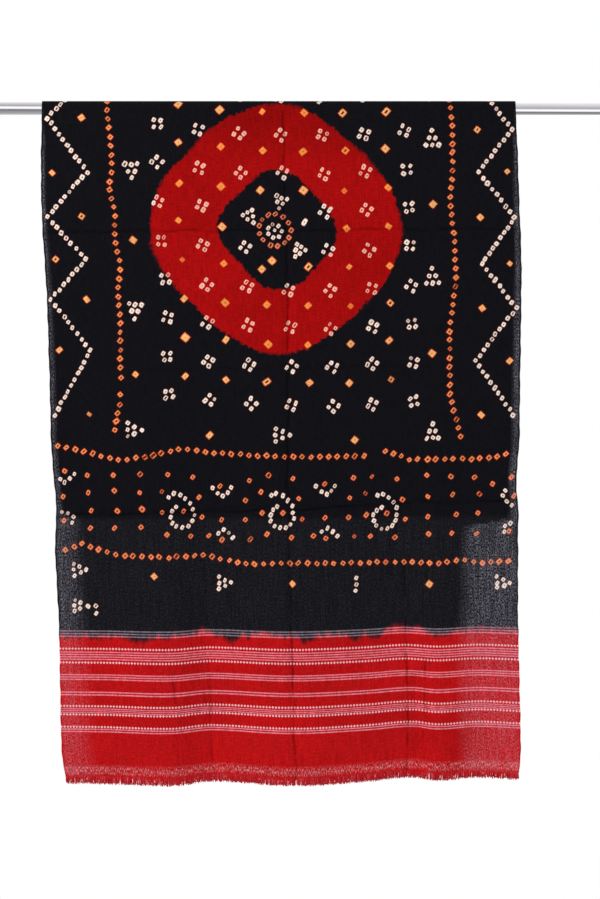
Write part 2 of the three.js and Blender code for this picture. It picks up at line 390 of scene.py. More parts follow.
# %% The medallion and the field around it
ROSETTE = {"across": -13, "along": -1}
ROSETTE_RINGS = {
    "reach": [13, 30.5],
    "dots": [7, 13],
    "kind": ["cream", "hollow"],
    "size": [0.92, 1.0],
    "down": [2, 0],
}
ROSETTE_TRIANGLES = {"across": [0, -58, 30], "along": [-53, -25, 41], "turn": [16, -30, 34]}
LONE_DOT = (45, -15)
MEDALLION_DIAMONDS = {"across": [-20, -41], "along": [58, 74], "size": [1.0, 0.95]}
FOURS = {"across": -235, "along": -350, "columns": 7, "rows": 10, "wide": 79.4, "long": 74.6, "lean": 0.018,
         "skip": [(4, 2), (4, 3), (5, 3)]}
DIAMONDS = {"across": -193, "along": -391, "columns": 6, "rows": 10, "wide": 79.7, "long": 74.3, "lean": 0,
            "skip": [(5, 2), (5, 3), (6, 2)]}
GRID_BOW = {"middle": 60, "half_width": 260, "depth": 16}


def tie_rosette():
    middle = ROSETTE["across"], ROSETTE["along"]
    tie(*middle, "cream", 0.7)
    for reach, dots, kind, size, down in zip(*ROSETTE_RINGS.values()):
        for turn in np.arange(dots) / dots * math.tau:
            place = (reach * math.cos(turn), reach * math.sin(turn) + down)
            tie_all(*middle, [place], kind, size=size)
    for across, along, turn in zip(*ROSETTE_TRIANGLES.values()):
        close = [(0.85 * x, 0.8 * y) for x, y in TRIANGLE_PLACES]
        tie_all(across, along, close, "cream", turn, 0.95)
    tie(*LONE_DOT, "cream", 1.2)


def grid_places(grid):
    """Places of a grid whose rows sag in the middle, as the cloth was pulled when it was marked out."""
    for row in range(grid["rows"]):
        for column in range(grid["columns"]):
            across = grid["across"] + column * grid["wide"]
            bow = GRID_BOW["depth"] * (1 - ((across - GRID_BOW["middle"]) / GRID_BOW["half_width"]) ** 2)
            along = grid["along"] + row * grid["long"] + bow
            across += grid["lean"] * (along + 200)
            if (row, column) not in grid["skip"]:
                yield column, across + hand.normal(0, 1.3), along + hand.normal(0, 1.3)


tie_rosette()
for _, across, along in grid_places(DIAMONDS):
    tie(across, along, "diamond", hand.uniform(0.92, 1.12))
for across, along, size in zip(*MEDALLION_DIAMONDS.values()):
    tie(across, along, "diamond", size)
for column, across, along in grid_places(FOURS):
    tie_four(across, along, 45 if column in (0, 6) and hand.random() < 0.6 else -15)
print("dots in the medallion and field:", len(tied))

# %% Chains, zigzags and the columns beside them
LEFT_CHAIN = {
    "across": [-330, -326, -332, -325, -320, -328, -316, -321, -312, -319, -316, -320, -321, -333],
    "along": [-388, -310, -246, -176, -120, -86, -34, 15, 66, 118, 180, 277, 331, 388],
}
RIGHT_CHAIN = {
    "across": [336, 326, 330, 333, 331, 325, 330, 331, 319, 321, 343],
    "along": [-392, -320, -246, -167, -108, -70, 30, 100, 190, 320, 402],
}
LEFT_ZIGZAG = {
    "across": [-446, -372, -447, -368, -446, -378, -450, -376, -448],
    "along": [-400, -300, -217, -112, -27, 56, 133, 230, 354],
}
RIGHT_ZIGZAG = {
    "across": [446, 376, 448, 381, 447, 382, 447, 370, 444],
    "along": [-390, -297, -195, -113, -26, 65, 150, 252, 357],
}
ZIGZAG_MIDDLE = 412
ZIGZAG_INNER, ZIGZAG_OUTER = 381, 436
SIDE_COLUMN = {
    "across": [-290, -288, -284, -285, -288, -290, -293, 290, 290, 294, 291, 286, 286, 287],
    "along": [-350, -275, -115, 18, 155, 276, 383, -330, -262, -179, -50, 88, 236, 387],
    "kind": ["diamond", "triangle", "triangle", "diamond", "triangle", "diamond",
             "triangle", "triangle", "diamond", "triangle", "diamond", "triangle", "diamond", "triangle"],
    "turn": [0, 180, 0, 0, 4, 0, -88, 180, 0, 180, 0, 180, 0, 180],
}


def tie_zigzag(table):
    """A zigzag whose legs each hold a whole number of dots, with a diamond opposite each turn."""
    corners = list(zip(table["across"], table["along"]))
    for (across, along), (next_across, next_along) in zip(corners, corners[1:]):
        count = round(math.hypot(next_across - across, next_along - along) / CREAM_PITCH)
        for share in np.arange(count) / count:
            tie(across + (next_across - across) * share, along + (next_along - along) * share, "cream")
    tie(*corners[-1], "cream")
    for across, along in corners:
        opposite = ZIGZAG_INNER if abs(across) > ZIGZAG_MIDDLE else ZIGZAG_OUTER
        tie(math.copysign(opposite, across), along, "diamond", 0.86)


tie_chain(LEFT_CHAIN, CHAIN_PITCH, "orange", gaps=[(284, 304)])
tie_chain(RIGHT_CHAIN, CHAIN_PITCH, "orange")
tie_zigzag(LEFT_ZIGZAG)
tie_zigzag(RIGHT_ZIGZAG)
for across, along, kind, turn in zip(*SIDE_COLUMN.values()):
    if kind == "triangle":
        tie_all(across, along, TRIANGLE_PLACES, "cream", turn)
    else:
        tie(across, along, "diamond")

# %% The mango band and the row below it, once for each end of the shawl
FIRST_CHAIN = [
    {
        "across": [-445, -395, -323, -250, -200, -140, -60, 20, 160],
        "along": [414, 425, 442, 430, 419, 429, 432, 435, 435],
    },
    {"across": [195, 243, 410, 443], "along": [427, 443, 441, 428]},
]
SECOND_CHAIN = {
    "across": [-436, -404, -335, -230, -160, -80, 20, 130, 300, 345, 385, 440],
    "along": [614, 602, 624, 627, 626, 642, 638, 641, 643, 638, 644, 640],
}
MANGO_ROW = {"across": [-206, -8, 197], "along": [540, 541, 547], "turn": [-6, 4, 12]}
CHEVRON_ROW = {"across": [-126, 80], "down": [512, 508], "up": [576, 573]}
EDGE_SEEDS = {"across": [-389, -339, -288, 279, 329, 377], "along": [472, 472, 472, 477, 477, 477]}
EDGE_SEED_ROWS = {"count": 4, "left": 33, "right": 36.5}
LOOSE_SEEDS = [(-434, 464), (-443, 512), (-441, 558), (410, 490), (447, 478), (450, 514), (439, 582)]
EDGE_CHEVRONS = {
    "across": [-436, -423, 428, 431],
    "along": [484, 551, 514, 571],
    "turn": [4, 248, 90, 130],
    "dots": [4, 4, 4, 3],
}
LOWER_ROW = {"across": [-124, -409, -411, 428], "along": [679, 652, 722, 682]}
LOWER_PAIR = (-382, 729, [(0, -6), (1, 7)])
LOWER_THREE = (136, 682, [(0, -13), (0, 0), (-1, 11)])
BAND_TRIANGLE = (-5, 393)
BAND_DIAMONDS = [(-148, 395), (135, 404), (-263, 664), (11, 679), (282, 683)]


def tie_band(end):
    """The band between the chains. End is 1 at the front and -1 at the back, the same turned half round."""
    first_new = len(tied)
    for table in [*FIRST_CHAIN, SECOND_CHAIN]:
        tie_chain(table, CHAIN_PITCH, "orange")
    for across, along, turn in zip(*MANGO_ROW.values()):
        tie_mango(across, along, turn)
    for across, down, up in zip(*CHEVRON_ROW.values()):
        tie_all(across, down, CHEVRON_PLACES, "cream", size=0.95)
        tie_all(across, up, CHEVRON_PLACES[:4], "cream", turn=180, size=0.95)
        tie_all(across, down, CHEVRON_SEEDS, "seed")
    for across, along in zip(*EDGE_SEEDS.values()):
        for row in range(EDGE_SEED_ROWS["count"]):
            pitch = EDGE_SEED_ROWS["left" if across < 0 else "right"]
            tie(across + hand.normal(0, 2), along + row * pitch + hand.normal(0, 2), "seed")
    for across, along in LOOSE_SEEDS:
        tie(across, along, "seed")
    for across, along, turn, dots in zip(*EDGE_CHEVRONS.values()):
        tie_all(across, along, CHEVRON_PLACES[1:dots + 1], "cream", turn, 0.92)
    tie_all(*BAND_TRIANGLE, TRIANGLE_PLACES, "cream", turn=-90)
    for across, along in BAND_DIAMONDS:
        tie(across, along, "diamond")
    for across, along in zip(*LOWER_ROW.values()):
        close = [(0.9 * x, 0.9 * y) for x, y in TRIANGLE_PLACES]
        tie_all(across, along, close, "cream", -90, 0.95)
    tie_all(*LOWER_PAIR, "cream", size=0.92)
    tie_all(*LOWER_THREE, "cream", size=0.92)
    for dot in tied[first_new:]:
        dot["across"] *= end
        dot["along"] *= end


tie_band(1)
tie_band(-1)
print("dots tied in all:", len(tied))

# %% [markdown]
# ## Thin cloth
# Where a single layer hangs near a selvedge, daylight comes through between the yarns and the cloth looks
# paler and speckled. The table gives how wide that strip is at each place along the front fall. It becomes
# a point attribute, so the material only has to speckle the cloth where the attribute says so.

# %% Where light comes through the cloth, in millimetres
THIN_STRIPS = {
    "along": [-238, -150, 100, 400, 500, 540, 549, 556, 564, 573, 650, 700, 790, 900, 1046, 1067],
    "left": [0, 7, 8, 9, 10, 10, 20, 36, 37, 38, 38, 40, 42, 48, 50, 46],
    "right": [0, 7, 12, 13, 13, 14, 15, 16, 40, 102, 106, 104, 112, 116, 110, 104],
    "left_soft": [4, 5, 6, 7, 8, 12, 30, 56, 60, 60, 64, 68, 70, 70, 70, 60],
    "right_soft": [4, 5, 6, 8, 10, 14, 16, 20, 26, 32, 40, 44, 50, 50, 50, 40],
}
# Below the back hem the front hangs as a single layer, and a little painted light shows through it all across
SINGLE_LAYER = {"start": 548, "end": 560, "share": 0.09}


def thin_share(across, along):
    """0 where the cloth looks dense and 1 where light comes through, on the front fall only."""
    edges = {"left": across * CLOTH_WIDTH, "right": (1 - across) * CLOTH_WIDTH}
    share = SINGLE_LAYER["share"] * smoothstep(along, SINGLE_LAYER["start"], SINGLE_LAYER["end"])
    for side, from_edge in edges.items():
        width = np.interp(along, THIN_STRIPS["along"], THIN_STRIPS[side])
        soft = np.interp(along, THIN_STRIPS["along"], THIN_STRIPS[side + "_soft"]) / 2
        share = np.maximum(share, 1 - smoothstep(from_edge, width - soft, width + soft))
    return share * (along > FRONT_START)


# %% [markdown]
# ## The cloth's mesh
# Each stretch is a grid of quads, laid on the form twice, half a wall's thickness out and in, and closed
# round its rim. The quads are about 5 mm, small beside the creases. A UV map named `flat` holds the flat
# place in metres, so the dye follows the cloth and not the air it hangs in.

# %% One stretch of cloth
COLUMNS = 200
ROW_HEIGHT = 4.9
LEAST_ROWS = 24
collection = bpy.context.scene.collection
dot_tree = kdtree.KDTree(len(tied))
for number, dot in enumerate(tied):
    dot_tree.insert((dot["across"], dot["along"], 0), number)
dot_tree.balance()
DOT_PLACES = np.array([(d["across"] * MM, d["along"] * MM, d["turn"]) for d in tied])
DOT_LOOKS = np.array([(d["radius"] * MM, d["eye"], d["long"], d["square"]) for d in tied])
DOT_DYES = np.array([(*d["dye"], d["strength"]) for d in tied])


def shell_faces(rows, columns):
    """Quads of the outer layer, the inner layer and the rim, all facing out of the wall."""
    index = np.arange(rows * columns).reshape(rows, columns)
    here, beside = index[:-1, :-1].ravel(), index[:-1, 1:].ravel()
    below, across = index[1:, :-1].ravel(), index[1:, 1:].ravel()
    inner = rows * columns
    outer_layer = np.stack([here, below, across, beside], -1)
    inner_layer = np.stack([here, beside, across, below], -1) + inner
    ring = np.concatenate([index[0, :-1], index[:-1, -1], index[-1, :0:-1], index[:0:-1, 0]])
    following = np.roll(ring, -1)
    rim = np.stack([ring, following, following + inner, ring + inner], -1)
    return np.concatenate([outer_layer, inner_layer, rim])


def store_nearest_dots(mesh, centres):
    """Gives each face its two nearest dots: where each lies, its sizes and its dye."""
    nearest = np.array([[found[1] for found in dot_tree.find_n((x, y, 0), 2)] for x, y in centres])
    for layer in range(2):
        chosen = nearest[:, layer]
        place = mesh.attributes.new(f"dot{layer}_place", "FLOAT_VECTOR", "FACE")
        place.data.foreach_set("vector", DOT_PLACES[chosen].ravel())
        look = mesh.attributes.new(f"dot{layer}_look", "FLOAT_COLOR", "FACE")
        look.data.foreach_set("color", DOT_LOOKS[chosen].ravel())
        colour = mesh.attributes.new(f"dot{layer}_dye", "FLOAT_COLOR", "FACE")
        colour.data.foreach_set("color", DOT_DYES[chosen].ravel())


def cloth_stretch(name, start, end, dotted):
    """A closed shell of the cloth between two places along it."""
    rows = max(int(abs(end - start) / ROW_HEIGHT), LEAST_ROWS) + 1
    across, along = np.meshgrid(np.linspace(0, 1, COLUMNS + 1), np.linspace(start, end, rows))
    middle = cloth_point(across, along)
    inward = cloth_normal(across, along)
    layers = [middle - inward * CLOTH_WALL / 2, middle + inward * CLOTH_WALL / 2]
    points = np.concatenate([layer.reshape(-1, 3) for layer in layers]) * MM
    faces = shell_faces(rows, COLUMNS + 1)
    mesh = bpy.data.meshes.new(name)
    mesh.from_pydata(points.tolist(), [], faces.tolist())
    flat = np.stack([(across - 0.5) * CLOTH_WIDTH, along], -1).reshape(-1, 2)
    flat = np.concatenate([flat, flat])
    uv_map = mesh.uv_layers.new(name="flat")
    uv_map.data.foreach_set("uv", (flat[faces.ravel()] * MM).ravel())
    thin = mesh.attributes.new("thin", "FLOAT", "POINT")
    thin.data.foreach_set("value", np.tile(thin_share(across, along).ravel(), 2))
    if dotted:
        store_nearest_dots(mesh, flat[faces].mean(axis=1))
    mesh.polygons.foreach_set("use_smooth", np.ones(len(faces), bool))
    mesh.update()
    normals = np.concatenate([-inward.reshape(-1, 3), inward.reshape(-1, 3)])
    mesh.normals_split_custom_set_from_vertices(normals.tolist())
    piece = bpy.data.objects.new(name, mesh)
    collection.objects.link(piece)
    print(f"{name}: {rows} rows, {2 * len(faces)} triangles")
    return piece


# %% The five stretches
BORDER_EDGE = HALF_LENGTH - RED_END
WOVEN_EDGE = HALF_LENGTH - FRINGE_ZONE + FRINGE_STRIP
STRETCHES = {
    name: {"start": start, "end": end, "node": node, "slot": slot}
    for name, start, end, node, slot in [
        ("cloth_rod_fold", BACK_START, FRONT_START, "rod_fold", "cloth_field"),
        ("cloth_front_field", FRONT_START, BORDER_EDGE, "front_field", "cloth_field"),
        ("cloth_front_border", BORDER_EDGE, WOVEN_EDGE, "front_border", "cloth_border"),
        ("cloth_back_field", -BORDER_EDGE, BACK_START, "back_field", "cloth_field"),
        ("cloth_back_border", -WOVEN_EDGE, -BORDER_EDGE, "back_border", "cloth_border"),
    ]
}
for name, stretch in STRETCHES.items():
    is_field = stretch["slot"] == "cloth_field"
    stretch["piece"] = cloth_stretch(name, stretch["start"], stretch["end"], dotted=is_field)

# %% [markdown]
# ## Helpers for node trees
# Materials and Geometry Nodes are both trees of nodes, so a few short helpers keep the recipes readable. A
# value that is a socket becomes a link, and any other value becomes the input's own.

# %% Node helpers


def feed(tree, sockets, values):
    for key, value in values.items():
        if isinstance(value, bpy.types.NodeSocket):
            tree.links.new(value, sockets[key])
        else:
            sockets[key].default_value = value


def add_node(tree, kind, inputs=None, **settings):
    made = tree.nodes.new(kind)
    for name, value in settings.items():
        setattr(made, name, value)
    feed(tree, made.inputs, inputs or {})
    return made


def maths(tree, operation, *values):
    return add_node(tree, "ShaderNodeMath", dict(enumerate(values)), operation=operation).outputs[0]


def vector_maths(tree, operation, *values):
    made = add_node(tree, "ShaderNodeVectorMath", dict(enumerate(values)), operation=operation)
    return made.outputs["Value" if operation in ("LENGTH", "DOT_PRODUCT") else "Vector"]


def ramp(tree, value, start, end, low=0.0, high=1.0):
    """Goes smoothly from low where value is start to high where it is end."""
    sockets = {"Value": value, "From Min": start, "From Max": end, "To Min": low, "To Max": high}
    made = add_node(tree, "ShaderNodeMapRange", sockets, interpolation_type="SMOOTHSTEP")
    return made.outputs["Result"]


def noise(tree, vector, scale, detail):
    sockets = {"Vector": vector, "Scale": scale, "Detail": detail}
    return add_node(tree, "ShaderNodeTexNoise", sockets).outputs["Fac"]


def drawn_noise(tree, vector, across, along, detail):
    """Noise with its grains drawn out: across and along are about how many of them lie in a metre."""
    return noise(tree, vector_maths(tree, "MULTIPLY", vector, (across, along, 1.0)), 1.0, detail)


def swing(tree, value, reach):
    """Turns a value from 0 to 1 into one that swings to either side of 0, over reach in all."""
    return maths(tree, "MULTIPLY_ADD", value, reach, -reach / 2)


def shift(tree, vector, scale, detail, reach):
    """A small shift that changes from place to place, over reach in all."""
    made = add_node(tree, "ShaderNodeTexNoise", {"Vector": vector, "Scale": scale, "Detail": detail})
    centred = vector_maths(tree, "SUBTRACT", made.outputs["Color"], (0.5, 0.5, 0.5))
    return vector_maths(tree, "MULTIPLY", centred, reach)


def mix_dye(tree, share, first, second, blend="MIX"):
    """Mixes two colours. The Mix node takes the share as input 0 and the colours as inputs 6 and 7."""
    first, second = ((*value, 1.0) if isinstance(value, tuple) else value for value in (first, second))
    inputs = {0: share, 6: first, 7: second}
    return add_node(tree, "ShaderNodeMix", inputs, data_type="RGBA", blend_type=blend).outputs[2]


def new_group(name, inputs, outputs):
    """Makes a shader group with named sockets, and returns its tree, its inputs and its outputs."""
    tree = bpy.data.node_groups.new(name, "ShaderNodeTree")
    for in_out, sockets in (("INPUT", inputs), ("OUTPUT", outputs)):
        for socket, kind in sockets.items():
            tree.interface.new_socket(name=socket, in_out=in_out, socket_type=f"NodeSocket{kind}")
    return tree, tree.nodes.new("NodeGroupInput").outputs, tree.nodes.new("NodeGroupOutput").inputs


def use_group(tree, group, inputs):
    made = tree.nodes.new("ShaderNodeGroup")
    made.node_tree = group
    feed(tree, made.inputs, inputs)
    return made.outputs


# %% [markdown]
# ## The dye bath
# The cloth was dyed black around a red ring and down to its red ends. Resist dyeing never stops on a clean
# line, so noise bends each edge, and its softness changes from place to place. The group gives the ground
# colour, with painted shade that darkens the red towards the rod, and a mask of where it is red.

# %% Ground colours
BLACK = dye(18, 18, 23)
RING_RED = dye(171, 12, 13)
END_RED = dye(194, 11, 13)
DYE_EDGE = {"left": 782, "right": 776}
RING_SOFT = {"least": 2, "most": 13}
# Painted shade: the red darkens towards the rod, over this stretch along the cloth
ROD_PAINTED_SHADE = {"start": -230, "end": -100, "shade": 0.80}
DYE_RUNS = {
    "across": [-297, -172, -112, -48, 35, 130, 175, 212, 256, 300],
    "reach": [10, -9, 13, -7, 13, 8, 7, -11, -9, 7],
    "width": [34, 30, 26, 30, 24, 34, 28, 30, 28, 36],
}
ground_sockets = {"Colour": "Color", "Red": "Float"}
ground_group, flat_in, ground_out = new_group("dye_bath_and_rod_shade", {"Flat": "Vector"}, ground_sockets)
tree = ground_group
flat = flat_in["Flat"]
bend = swing(tree, noise(tree, flat, 15.0, 1.0), 18 * MM)
feather = swing(tree, noise(tree, flat, 120.0, 3.0), 14 * MM)
threads = swing(tree, drawn_noise(tree, flat, 300.0, 60.0, 2.0), 7 * MM)
wobble = maths(tree, "ADD", maths(tree, "ADD", bend, feather), threads)
softness = ramp(tree, noise(tree, flat, 8.0, 1.0), 0.42, 0.7, RING_SOFT["least"] * MM, RING_SOFT["most"] * MM)


def beyond_edge(edge):
    """How far outside one edge of the ring a place lies."""
    moved = vector_maths(tree, "SUBTRACT", flat, (edge["across"] * MM, edge["along"] * MM, 0.0))
    parts = add_node(tree, "ShaderNodeSeparateXYZ", {0: moved}).outputs
    turn = maths(tree, "MULTIPLY", maths(tree, "ARCTAN2", parts["Y"], parts["X"]), 4.0)
    bulge = maths(tree, "MULTIPLY_ADD", maths(tree, "COSINE", turn), edge["square"] * MM, edge["radius"] * MM)
    away = vector_maths(tree, "LENGTH", vector_maths(tree, "MULTIPLY", moved, (1.0, 1.0, 0.0)))
    return maths(tree, "ADD", maths(tree, "SUBTRACT", away, bulge), wobble)


inside_outer = ramp(tree, beyond_edge(RING), softness, -2 * MM)
outside_inner = ramp(tree, beyond_edge(HOLE), -2.5 * MM, 2 * MM)
in_ring = maths(tree, "MULTIPLY", inside_outer, outside_inner)
parts = add_node(tree, "ShaderNodeSeparateXYZ", {0: flat}).outputs
along = maths(tree, "ABSOLUTE", parts["Y"])
half_width = CLOTH_WIDTH / 2 * MM
slope = {"Value": parts["X"], "From Min": -half_width, "From Max": half_width}
slope |= {"To Min": DYE_EDGE["left"] * MM, "To Max": DYE_EDGE["right"] * MM}
dye_edge = add_node(tree, "ShaderNodeMapRange", slope).outputs[0]
for across, run, width in zip(*DYE_RUNS.values()):
    away = maths(tree, "ABSOLUTE", maths(tree, "SUBTRACT", parts["X"], across * MM))
    dye_edge = maths(tree, "ADD", dye_edge, ramp(tree, away, width * MM, 0.0, 0.0, run * MM))
bleed = maths(tree, "MULTIPLY_ADD", drawn_noise(tree, flat, 95.0, 22.0, 3.0), 30 * MM, -17 * MM)
bleed = maths(tree, "ADD", bleed, threads)
from_edge = maths(tree, "ADD", maths(tree, "SUBTRACT", along, dye_edge), bleed)
in_end = maths(tree, "POWER", ramp(tree, from_edge, -13 * MM, 6 * MM), 1.5)
red_share = maths(tree, "MAXIMUM", in_ring, in_end)
red_dye = mix_dye(tree, in_end, RING_RED, END_RED)
cloud = ramp(tree, noise(tree, flat, 5.0, 3.0), 0.3, 0.7, 0.90, 1.08)
# Painted shade on the red near the rod, multiplied into the red's random tone
rod_painted_shade = ramp(tree, parts["Y"], ROD_PAINTED_SHADE["start"] * MM, ROD_PAINTED_SHADE["end"] * MM, ROD_PAINTED_SHADE["shade"], 1.0)
cloud = maths(tree, "MULTIPLY", cloud, rod_painted_shade)
ground = mix_dye(tree, red_share, BLACK, mix_dye(tree, 1.0, red_dye, cloud, "MULTIPLY"))
tree.links.new(ground, ground_out["Colour"])
tree.links.new(red_share, ground_out["Red"])

# %% [markdown]
# ## One tied dot
# The dot's group measures how far a place lies from the dot's middle, in the dot's own turned frame, with a
# rounded square as its circle. Bands of that distance give the halo where dye crept under the knot, the
# undyed lozenge, and its dark eye. The group is used twice, so a face near two dots shows both.

# %% The dot group
RIM_TINT = (1.0, 0.86, 0.8)
HALO_TINT = (0.22, 0.05, 0.04)
DOT_SHAKE = 1.6 * MM
# Where each band of a dot begins and is full, as a share of the dot's radius
DOT_BANDS = {"halo": (1.34, 1.0), "rim": (1.08, 0.92), "pucker": (1.3, 0.0)}
dot_sockets = {"Flat": "Vector", "Place": "Vector", "Look": "Vector", "Square": "Float"}
dot_sockets |= {"Dye": "Color", "Strength": "Float"}
dot_group, dot_in, dot_out = new_group(
    "tied_dot", {**dot_sockets, "Ground": "Color"}, {"Colour": "Color", "Pucker": "Float"}
)
tree = dot_group
place = add_node(tree, "ShaderNodeSeparateXYZ", {0: dot_in["Place"]}).outputs
look = add_node(tree, "ShaderNodeSeparateXYZ", {0: dot_in["Look"]}).outputs
middle = add_node(tree, "ShaderNodeCombineXYZ", {"X": place["X"], "Y": place["Y"]}).outputs[0]
away = vector_maths(tree, "SUBTRACT", dot_in["Flat"], middle)
shake = shift(tree, dot_in["Flat"], 300.0, 1.0, (DOT_SHAKE, DOT_SHAKE, 0.0))
away = vector_maths(tree, "ADD", away, shake)
turned = add_node(
    tree, "ShaderNodeVectorRotate", {"Vector": away, "Angle": place["Z"]}, rotation_type="Z_AXIS"
).outputs[0]
sides = add_node(tree, "ShaderNodeSeparateXYZ", {0: turned}).outputs
wide = maths(tree, "ABSOLUTE", maths(tree, "DIVIDE", sides["X"], look["Z"]))
long = maths(tree, "ABSOLUTE", maths(tree, "MULTIPLY", sides["Y"], look["Z"]))
square_part = maths(tree, "MULTIPLY", maths(tree, "MAXIMUM", wide, long), math.sqrt(2))
round_part = maths(tree, "SQRT", maths(tree, "MULTIPLY_ADD", wide, wide, maths(tree, "MULTIPLY", long, long)))
past_round = maths(tree, "SUBTRACT", square_part, round_part)
share = maths(tree, "MULTIPLY_ADD", past_round, dot_in["Square"], round_part)
share = maths(tree, "DIVIDE", share, look["X"])
rim_dye = vector_maths(tree, "MULTIPLY", dot_in["Dye"], RIM_TINT)
rim_dye = vector_maths(tree, "MULTIPLY", dot_in["Dye"], rim_dye)
halo_dye = vector_maths(tree, "MULTIPLY", vector_maths(tree, "MULTIPLY", rim_dye, rim_dye), HALO_TINT)
eye_dye = mix_dye(tree, 0.3, dot_in["Ground"], halo_dye)
halo = maths(tree, "MULTIPLY", ramp(tree, share, *DOT_BANDS["halo"], 0.0, 0.75), dot_in["Strength"])
rim = maths(tree, "MULTIPLY", ramp(tree, share, *DOT_BANDS["rim"]), dot_in["Strength"])
core_start = maths(tree, "MULTIPLY_ADD", dot_in["Square"], -0.24, 1.12)
core_end = maths(tree, "MULTIPLY_ADD", dot_in["Square"], -0.42, 1.02)
core = maths(tree, "MULTIPLY", ramp(tree, share, core_start, core_end), dot_in["Strength"])
eye_reach = maths(tree, "MAXIMUM", wide, maths(tree, "MULTIPLY", long, 1.5))
eye_reach = maths(tree, "DIVIDE", eye_reach, look["X"])
eye_edge = maths(tree, "ADD", look["Y"], 0.08)
eye = maths(tree, "MULTIPLY", ramp(tree, eye_reach, eye_edge, maths(tree, "SUBTRACT", look["Y"], 0.10)), 0.95)
colour = mix_dye(tree, halo, dot_in["Ground"], halo_dye, "LIGHTEN")
colour = mix_dye(tree, rim, colour, rim_dye)
colour = mix_dye(tree, core, colour, dot_in["Dye"])
colour = mix_dye(tree, eye, colour, eye_dye)
tree.links.new(colour, dot_out["Colour"])
tree.links.new(ramp(tree, share, *DOT_BANDS["pucker"]), dot_out["Pucker"])

# %% [markdown]
# ## The weave
# The cloth is a loose plain weave of yarns a little over a millimetre apart. Two crossed waves make the
# over and under, long thin noise makes thick and thin yarns, and a pale speckle paints the light that comes
# through where the cloth is thin.

# %% The weave group
YARN_PITCH = 1.3 * MM
SELVEDGE = 3.5 * MM
# How many grains of each noise lie in a metre, across the cloth and along it
GRAINS = {
    "warp_slub": (440.0, 34.0),
    "weft_slub": (80.0, 440.0),
    "gaps": (600.0, 260.0),
    "streaks": (260.0, 16.0),
}
weave_group, weave_in, weave_out = new_group(
    "loose_weave",
    {"Flat": "Vector", "Ground": "Color", "Thin": "Float", "Behind": "Color"},
    {"Colour": "Color", "Height": "Float"},
)
tree = weave_group
flat = weave_in["Flat"]
parts = add_node(tree, "ShaderNodeSeparateXYZ", {0: flat}).outputs
turns = math.tau / YARN_PITCH
warp = maths(tree, "SINE", maths(tree, "MULTIPLY", parts["X"], turns))
weft = maths(tree, "SINE", maths(tree, "MULTIPLY", parts["Y"], turns))
over_under = maths(tree, "MULTIPLY_ADD", maths(tree, "MULTIPLY", warp, weft), 0.5, 0.5)
warp_slub = drawn_noise(tree, flat, *GRAINS["warp_slub"], 3.0)
weft_slub = drawn_noise(tree, flat, *GRAINS["weft_slub"], 3.0)
slub = maths(tree, "ADD", warp_slub, weft_slub)
shade = ramp(tree, slub, 0.75, 1.25, 0.82, 1.18)
shade = maths(tree, "MULTIPLY", shade, maths(tree, "MULTIPLY_ADD", over_under, 0.12, 0.94))
woven = mix_dye(tree, 1.0, weave_in["Ground"], shade, "MULTIPLY")
grain = ramp(tree, drawn_noise(tree, flat, *GRAINS["gaps"], 4.0), 0.40, 0.67, 0.0, 0.32)
streak = ramp(tree, drawn_noise(tree, flat, *GRAINS["streaks"], 2.0), 0.3, 0.7, 0.45, 1.25)
from_selvedge = maths(tree, "SUBTRACT", CLOTH_WIDTH / 2 * MM, maths(tree, "ABSOLUTE", parts["X"]))
inside = ramp(tree, from_selvedge, SELVEDGE * 0.5, SELVEDGE * 1.3, 0.15, 1.0)
through = maths(tree, "MULTIPLY", maths(tree, "MULTIPLY", grain, streak), inside)
# Painted light: where the cloth is thin, a speckle mixes in the light seen through it
woven = mix_dye(tree, maths(tree, "MULTIPLY", through, weave_in["Thin"]), woven, weave_in["Behind"])
tree.links.new(woven, weave_out["Colour"])
tree.links.new(maths(tree, "ADD", over_under, maths(tree, "MULTIPLY", slub, 0.8)), weave_out["Height"])

# %% [markdown]
# ## Painted crease shade
# Where the cloth lay folded in its parcel, the crease's trough is painted with shade: a thin dark line, faint
# in places. A group draws one such line between two flat places, and the creases whose `line` isn't 0 each
# use it.

# %% The painted crease shade group
LINE_SIGHT = 4.4 * MM
LINE_SWAY = 14 * MM
crease_sockets = {"Flat": "Vector", "From": "Vector", "Run": "Vector", "Strength": "Float"}
crease_group, crease_in, crease_out = new_group("crease_shade_line", crease_sockets, {"Dark": "Float"})
tree = crease_group
run = crease_in["Run"]
away = vector_maths(tree, "SUBTRACT", crease_in["Flat"], crease_in["From"])
share = vector_maths(tree, "DOT_PRODUCT", away, run)
share = maths(tree, "DIVIDE", share, vector_maths(tree, "DOT_PRODUCT", run, run))
clamped = maths(tree, "MINIMUM", maths(tree, "MAXIMUM", share, 0.0), 1.0)
nearest = add_node(tree, "ShaderNodeVectorMath", {0: run, "Scale": clamped}, operation="SCALE").outputs[0]
sway = shift(tree, crease_in["Flat"], 16.0, 2.0, (LINE_SWAY, LINE_SWAY, 0.0))
away = vector_maths(tree, "ADD", vector_maths(tree, "SUBTRACT", away, nearest), sway)
distance = vector_maths(tree, "LENGTH", vector_maths(tree, "MULTIPLY", away, (1.0, 1.0, 0.0)))
patchy = ramp(tree, noise(tree, crease_in["Flat"], 22.0, 2.0), 0.32, 0.58, 0.25, 1.0)
dark = maths(tree, "MULTIPLY", ramp(tree, distance, LINE_SIGHT, LINE_SIGHT * 0.1), patchy)
tree.links.new(maths(tree, "MULTIPLY", dark, crease_in["Strength"]), crease_out["Dark"])


